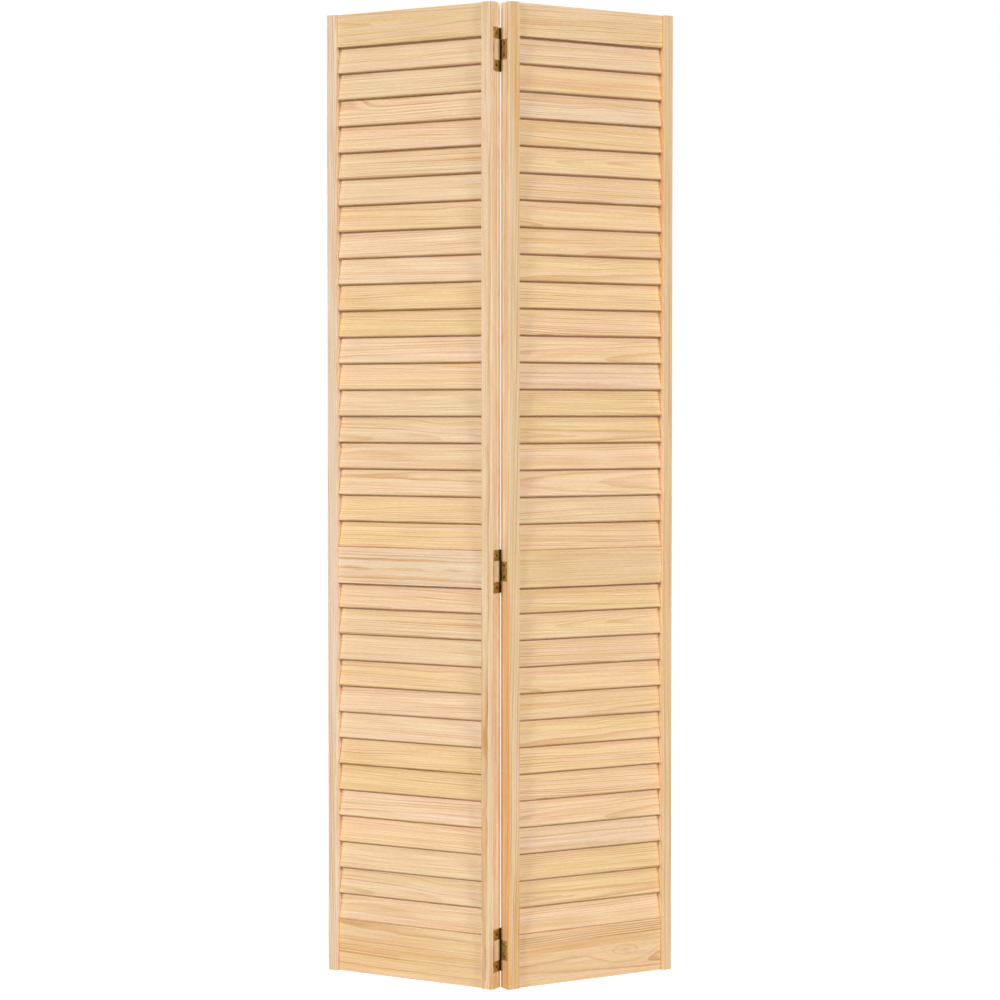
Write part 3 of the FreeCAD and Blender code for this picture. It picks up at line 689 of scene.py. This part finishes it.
def select(kind, test):
    """In edit mode, select just the vertices, edges or faces whose middle passes the test."""
    bpy.ops.mesh.select_mode(type=kind)
    bpy.ops.mesh.select_all(action="DESELECT")
    bpy.ops.object.mode_set(mode="OBJECT")
    mesh = bpy.context.object.data
    points = [vertex.co for vertex in mesh.vertices]
    if kind == "VERT":
        members = [(vertex, vertex.co) for vertex in mesh.vertices]
    elif kind == "EDGE":
        ends = [[points[end] for end in edge.vertices] for edge in mesh.edges]
        members = [(edge, (a + b) / 2) for edge, (a, b) in zip(mesh.edges, ends)]
    else:
        members = [(face, face.center) for face in mesh.polygons]
    for member, middle in members:
        member.select = test(middle)
    bpy.ops.object.mode_set(mode="EDIT")


def push(x=0.0, y=0.0, z=0.0):
    """Extrude what is selected, with its edges, and move it."""
    bpy.ops.mesh.extrude_region_move(TRANSFORM_OT_translate={"value": (x, y, z)})


def finish_edit():
    bpy.ops.object.mode_set(mode="OBJECT")


print("editing helpers ready")


# %% Helpers for finishing a piece
def add_modifier(piece, kind, **settings):
    """Add a modifier with its settings and apply it."""
    modifier = piece.modifiers.new(kind.lower(), kind)
    for name, value in settings.items():
        setattr(modifier, name, value)
    bpy.context.view_layer.objects.active = piece
    bpy.ops.object.modifier_apply(modifier=modifier.name)


def round_edges(piece, width, sharper_than):
    """Round every edge at which the surface turns by more than this many degrees."""
    add_modifier(piece, "BEVEL", width=width, segments=2, limit_method="ANGLE",
                 angle_limit=math.radians(sharper_than))


def cut(piece, cutter):
    """Cut the shape of another object out of a piece, and remove that object."""
    add_modifier(piece, "BOOLEAN", object=cutter, operation="DIFFERENCE", solver="EXACT")
    bpy.data.objects.remove(cutter)


def shade_smooth(piece, up_to):
    """Shade a piece as one smooth surface, but for edges that turn by more than this."""
    bpy.ops.object.select_all(action="DESELECT")
    piece.select_set(True)
    bpy.ops.object.shade_smooth_by_angle(angle=math.radians(up_to))


print("finishing helpers ready")

# %% [markdown]
# The outline of a leaf grows from one rectangle by pushing its edges out.  The outer leaf is a far
# strip with two arms, and the inner leaf is a plate with a collar that is a little wider, since its
# knuckle fills the space between the arms' knuckles.  The roll is then the same for both.

# %% Flat outlines
def first_face(name, x, y_range, z_range):
    """One upright rectangle, square to the leaf's thickness."""
    bpy.ops.object.select_all(action="DESELECT")
    bpy.ops.mesh.primitive_plane_add(size=1.0)
    piece = begin(name)
    centre = (0.0, 0.0, 0.0)
    bpy.ops.transform.rotate(value=math.pi / 2, orient_axis="Y", center_override=centre)
    (y_low, y_high), (z_low, z_high) = y_range, z_range
    bpy.ops.transform.resize(value=(1.0, y_high - y_low, z_high - z_low), center_override=centre)
    bpy.ops.transform.translate(value=(x, (y_low + y_high) / 2, (z_low + z_high) / 2))
    return piece


def outer_outline(x):
    """The far strip, then the two arms pushed out from it towards the pin."""
    window_tip = OUTER_TIP + FAR_STRIP
    piece = first_face("outer_leaf", x, (OUTER_TIP, window_tip), (0.0, ARM_HEIGHT))
    select("EDGE", lambda point: near(point.z, ARM_HEIGHT))
    push(z=HINGE_HEIGHT - 2 * ARM_HEIGHT)
    push(z=ARM_HEIGHT)
    select("EDGE", lambda point: near(point.y, window_tip)
           and abs(point.z - HINGE_HEIGHT / 2) > ARM_HEIGHT)
    push(y=NECK_START - window_tip)
    return piece


def inner_outline(x):
    """The collar beside the knuckle, widened up and down, then the plate pushed out from it."""
    piece = first_face("inner_leaf", x, (COLLAR, NECK_START), INNER_PLATE)
    for edge, knuckle_end in zip(INNER_PLATE, INNER_KNUCKLE):
        select("EDGE", lambda point: near(point.z, edge))
        push(z=knuckle_end - edge)
    select("EDGE", lambda point: near(point.y, COLLAR)
           and INNER_PLATE[0] < point.z < INNER_PLATE[1])
    push(y=INNER_TIP - COLLAR)
    return piece


print("outlines ready")

# %% The roll
NECK_STEPS = 5
ROLL_STEPS = 30


def roll_round_pin(side):
    """Turn the edge by the pin aside, then spin it round the pin.

    With no window a positive angle turns clockwise, seen from above.
    """
    select("EDGE", lambda point: near(point.y, NECK_START))
    turn = -SIDES[side]
    up = (0.0, 0.0, 1.0)
    neck = (turn * NECK_SIDE, NECK_START, 0.0)
    bpy.ops.mesh.spin(steps=NECK_STEPS, angle=-turn * NECK_TURN, axis=up, center=neck)
    bpy.ops.mesh.spin(steps=ROLL_STEPS, angle=turn * ROLL_TURN, axis=up, center=(0.0, 0.0, 0.0))


print("roll ready")

# %% [markdown]
# A countersunk hole is a cone, so a cone a little longer than the sheet is thick cuts it.  Last
# come the small round that the press leaves on every edge, and the place of each leaf: copies of
# one leaf, each with its own mesh, are moved to the three hinges.

# %% Countersunk holes
SCREW_HEAD_RADIUS = 3.5
SCREW_SHANK_RADIUS = 1.75
SCREW_INSET = {"left": 16.1, "right": 14.8}       # from the pins to the screws of each leaf
# up and down from the middle of the hinge: the screws of the outer leaf are in mid arm
SCREW_REACH = {"left": (HINGE_HEIGHT - ARM_HEIGHT) / 2, "right": 11.9}
HOLE_SIDES = 40
CUT_MARGIN = 0.2                                  # how far a cutter starts before what it cuts


def screw_places(side):
    """Where the two screws of one leaf enter, on the face that looks at the other panel."""
    face = -SIDES[side] * (SHEET - PANEL_GAP / 2)
    middle = HINGE_HEIGHT / 2
    return [Vector((face, -SCREW_INSET[side], middle + way * SCREW_REACH[side])) for way in (-1, 1)]


def countersink(piece, place, side):
    """Cut a screw hole that is widest at the face of the leaf and narrowest at the wood."""
    slope = (SCREW_HEAD_RADIUS - SCREW_SHANK_RADIUS) / SHEET
    wide, narrow = SCREW_HEAD_RADIUS + slope * CUT_MARGIN, SCREW_SHANK_RADIUS - slope * CUT_MARGIN
    bpy.ops.object.select_all(action="DESELECT")
    inward = Vector((SIDES[side] * SHEET / 2, 0, 0))
    bpy.ops.mesh.primitive_cone_add(vertices=HOLE_SIDES, radius1=narrow, radius2=wide,
                                    depth=SHEET + 2 * CUT_MARGIN, location=place + inward,
                                    rotation=(0.0, -SIDES[side] * math.pi / 2, 0.0))
    cut(piece, bpy.context.object)


print(f"holes {2 * SCREW_HEAD_RADIUS:.1f} mm wide at the face")

# %% Make a leaf
CORNER_STEPS = 5
PRESSED_EDGE = 0.12              # the round that the press leaves


def make_leaf(side):
    """The leaf of one panel, in millimetres, as it lies when the door is shut."""
    outline = outer_outline if side == "left" else inner_outline
    piece = outline(-SIDES[side] * SHEET_MIDDLE)
    tip = OUTER_TIP if side == "left" else INNER_TIP
    ends = (0.0, HINGE_HEIGHT) if side == "left" else INNER_PLATE
    select("VERT", lambda point: near(point.y, tip) and any(near(point.z, end) for end in ends))
    bpy.ops.mesh.bevel(offset=CORNER, segments=CORNER_STEPS, affect="VERTICES")
    roll_round_pin(side)
    bpy.ops.mesh.select_all(action="SELECT")
    bpy.ops.mesh.remove_doubles(threshold=0.001)
    bpy.ops.mesh.normals_make_consistent(inside=False)
    finish_edit()
    add_modifier(piece, "SOLIDIFY", thickness=SHEET, offset=0.0, use_even_offset=True)
    for place in screw_places(side):
        countersink(piece, place, side)
    round_edges(piece, PRESSED_EDGE, sharper_than=35)
    shade_smooth(piece, up_to=30)
    return piece


print("leaves ready to make")


# %% Put the leaves on the hinges
def copy_to_hinge(pattern, side, level, place=Matrix.Identity(4)):
    """A copy with its own mesh, from millimetres about a hinge's foot to where the hinge stands."""
    piece = pattern.copy()
    piece.data = pattern.data.copy()
    bpy.context.scene.collection.objects.link(piece)
    foot = Matrix.Translation((0, 0, hinge_foot[level]))
    piece.data.transform(swing(side) @ foot @ Matrix.Scale(MM, 4) @ place)
    return piece


for side, leaf in (("left", "outer_leaf"), ("right", "inner_leaf")):
    pattern = make_leaf(side)
    for level in LEVELS:
        piece = copy_to_hinge(pattern, side, level)
        piece.name = piece.data.name = f"{level}_{leaf}_sheet"
        coat(piece, leaf_brass)
        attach(piece, f"{side}_panel")
        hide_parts(f"{level}_hinge_{leaf}")
    print(f"{leaf}: {len(pattern.data.polygons)} faces")
    bpy.data.objects.remove(pattern)

# %% [markdown]
# ## Hinge screws
#
# Six flat-headed wood screws hold the leaves of each panel, their heads flush in the countersinks.
# A head is seen closest, so it gets a real cross recess, with wings that narrow to the bottom as a
# driver needs.  The screw grows upwards from its point: a small disc is pushed up and widened for
# the point, the shank and the head.  A cross is pushed out of a cube, narrowed at its foot and cut
# from the head.  Nobody lines up the slots of screws, so each is turned by chance.

# %% The cross recess
SCREW_LENGTH = 15.0
POINT_LENGTH = 4.0
POINT_RADIUS = 0.45
RIM = 0.12
RECESS_DEPTH = 1.0
WING_WIDTH = 0.8
WING_LENGTH = 1.4
RECESS_TAPER = 0.5               # width of the cross at its foot, as a share of its width above
SCREW_SIDES = 32
TURNED_EDGE = 0.05


def widen(scale):
    """Scale what is selected about the axis of the screw."""
    bpy.ops.transform.resize(value=(scale, scale, 1.0), center_override=(0.0, 0.0, 0.0))


def cross_cutter():
    """A cross that is widest at the face of the head, a little above which it starts."""
    bpy.ops.object.select_all(action="DESELECT")
    bpy.ops.mesh.primitive_cube_add(size=1.0)
    cutter = begin("cross")
    height = RECESS_DEPTH + CUT_MARGIN
    bpy.ops.transform.resize(value=(WING_WIDTH, WING_WIDTH, height),
                             center_override=(0.0, 0.0, 0.0))
    bpy.ops.transform.translate(value=(0.0, 0.0, CUT_MARGIN - height / 2))
    for x, y in ((1, 0), (-1, 0), (0, 1), (0, -1)):
        side_face = Vector((x, y)) * WING_WIDTH / 2
        select("FACE", lambda point: near((point.xy - side_face).length, 0.0))
        push(x=x * WING_LENGTH, y=y * WING_LENGTH)
    select("VERT", lambda point: point.z < -RECESS_DEPTH / 2)
    widen(RECESS_TAPER)
    finish_edit()
    return cutter


print("recess ready to make")


# %% Model one screw
def make_screw():
    """A countersunk screw in millimetres, its head on z = 0 and its point downwards."""
    bpy.ops.object.select_all(action="DESELECT")
    bpy.ops.mesh.primitive_circle_add(vertices=SCREW_SIDES, radius=POINT_RADIUS,
                                      fill_type="NGON", location=(0.0, 0.0, 0.0))
    piece = begin("screw")
    bpy.ops.transform.translate(value=(0.0, 0.0, -SCREW_LENGTH))
    push(z=POINT_LENGTH)
    widen(SCREW_SHANK_RADIUS / POINT_RADIUS)
    push(z=SCREW_LENGTH - POINT_LENGTH - SHEET)
    push(z=SHEET - RIM)
    widen(SCREW_HEAD_RADIUS / SCREW_SHANK_RADIUS)
    push(z=RIM)
    bpy.ops.mesh.select_all(action="SELECT")
    bpy.ops.mesh.normals_make_consistent(inside=False)
    finish_edit()
    cut(piece, cross_cutter())
    round_edges(piece, TURNED_EDGE, sharper_than=50)
    shade_smooth(piece, up_to=35)
    return piece


print("screw ready to make")

# %% Place the screws of each panel
def screws_of(side, pattern):
    """The six screws of one panel, joined as one piece."""
    lay_down = Matrix.Rotation(-SIDES[side] * math.pi / 2, 4, "Y")
    copies = []
    for level in LEVELS:
        for place in screw_places(side):
            spun = Matrix.Rotation(chance.uniform(0, math.pi), 4, "Z")
            in_leaf = Matrix.Translation(place) @ lay_down @ spun
            copies.append(copy_to_hinge(pattern, side, level, in_leaf))
    bpy.ops.object.select_all(action="DESELECT")
    for screw in copies:
        screw.select_set(True)
    bpy.context.view_layer.objects.active = copies[0]
    bpy.ops.object.join()
    return bpy.context.object


pattern = make_screw()
for side in SIDES:
    screws = screws_of(side, pattern)
    screws.name = screws.data.name = f"{side}_flat_head_screws"
    coat(screws, screw_brass)
    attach(screws, f"{side}_panel")
    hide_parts(f"{side}_hinge_screws")
    print(f"{screws.name}: {len(screws.data.polygons)} faces")
bpy.data.objects.remove(pattern)

# %% [markdown]
# ## The studio
#
# A pale floor, a white surround and soft lamps.  The surround hardly lights the door, so that the
# lamps can throw crisp shadows, and shows as white only to the camera and in reflections.  The
# floor does the same, but keeps the shadow that the door throws on it.

# %% The floor
FLOOR_SIZE = 30.0
FLOOR_GLOW = 0.86                # with the lamps' light on the floor this comes to about white
FLOOR_SHARE = 0.3                # how much of that light, and of the shadow in it, is kept
FLOOR_GREY = 0.5                 # what the floor throws back onto the door
WHITE = (1.0, 1.0, 1.0, 1.0)


def seen_directly(finish):
    """1 for a ray from the camera, a mirror or glass, and 0 for light on its way to a surface."""
    camera, glossy, clear = (
        finish.add("LightPath", output=name)
        for name in ("Is Camera Ray", "Is Glossy Ray", "Is Transmission Ray")
    )
    return camera.largest(glossy).largest(clear)


def grey(level):
    return (level, level, level, 1.0)


bpy.ops.mesh.primitive_plane_add(size=FLOOR_SIZE, location=(0, 0, 0))
floor = bpy.context.object
floor.name = "floor"
pale = new_finish("pale_floor")
matt = pale.add("BsdfDiffuse", {"Color": grey(FLOOR_GREY)})
kept = pale.add("BsdfDiffuse", {"Color": grey(FLOOR_SHARE)})
glow = pale.add("Emission", {"Color": WHITE, "Strength": FLOOR_GLOW})
shown = pale.add("AddShader", {0: kept, 1: glow})
pale.show(pale.add("MixShader", {0: seen_directly(pale), 1: matt, 2: shown}))
floor.data.materials.append(pale.owner)
print(f"floor {FLOOR_SIZE:.0f} m wide")

# %% The surround
SURROUND_LIGHT = 0.03

surround = Finish(bpy.data.worlds.new("surround"))
dim = surround.add("Background", {"Color": WHITE, "Strength": SURROUND_LIGHT})
full = surround.add("Background", {"Color": WHITE, "Strength": 1.0})
both = surround.add("MixShader", {0: seen_directly(surround), 1: dim, 2: full})
surround.show(both, output="World Output")
bpy.context.scene.world = surround.owner
print("surround ready")

# %% [markdown]
# The lamps in front stand low.  The lip of each slat is about ten millimetres in front of the next
# slat, so light from 25 degrees up leaves a thin dark line under it, where a high lamp would leave
# a wide grey band.  Two lamps behind light the back.

# %% Lamps
SOFTNESS = math.radians(12)               # how wide each lamp looks from the door


def soft_lamp(name, azimuth, elevation, strength):
    """A wide soft light, far enough away to fall evenly on the whole height of the door."""
    lamp = bpy.data.lights.new(name, "SUN")
    lamp.energy = strength
    lamp.angle = SOFTNESS
    holder = bpy.data.objects.new(name, lamp)
    bpy.context.scene.collection.objects.link(holder)
    across, up = math.radians(azimuth), math.radians(elevation)
    holder.rotation_euler = (math.pi / 2 - up, 0.0, across)


soft_lamp("left_lamp", azimuth=-45, elevation=25, strength=1.58)
soft_lamp("right_lamp", azimuth=45, elevation=25, strength=1.46)
soft_lamp("front_lamp", azimuth=0, elevation=27, strength=0.79)
soft_lamp("back_left_lamp", azimuth=-140, elevation=12, strength=1.25)
soft_lamp("back_right_lamp", azimuth=140, elevation=12, strength=1.15)
print("lamps ready")

# %% [markdown]
# ## The camera
#
# A long lens from five metres, a little above the middle of the door and tipped slightly down.

# %% Camera
CAMERA_LEFT = 33.97 * MM                  # of the middle of the door
CAMERA_DISTANCE = 5301.3 * MM             # in front of the pins
CAMERA_HEIGHT = 1179.2 * MM
CAMERA_TURN = math.radians(0.357)         # to the right
CAMERA_TIP = math.radians(1.941)          # down
SENSOR_WIDTH = 36.0                       # millimetres
LENS_SHARE = 2.603                        # focal length, in widths of the sensor

camera_data = bpy.data.cameras.new("camera")
camera = bpy.data.objects.new("camera", camera_data)
bpy.context.scene.collection.objects.link(camera)
camera.location = (-CAMERA_LEFT, pin_axis.y - CAMERA_DISTANCE, CAMERA_HEIGHT)
camera.rotation_euler = (math.pi / 2 - CAMERA_TIP, 0.0, -CAMERA_TURN)
camera_data.sensor_width = SENSOR_WIDTH
camera_data.lens = SENSOR_WIDTH * LENS_SHARE
bpy.context.scene.camera = camera
bpy.context.scene.view_settings.view_transform = "Standard"
print(f"lens {camera_data.lens:.1f} mm")
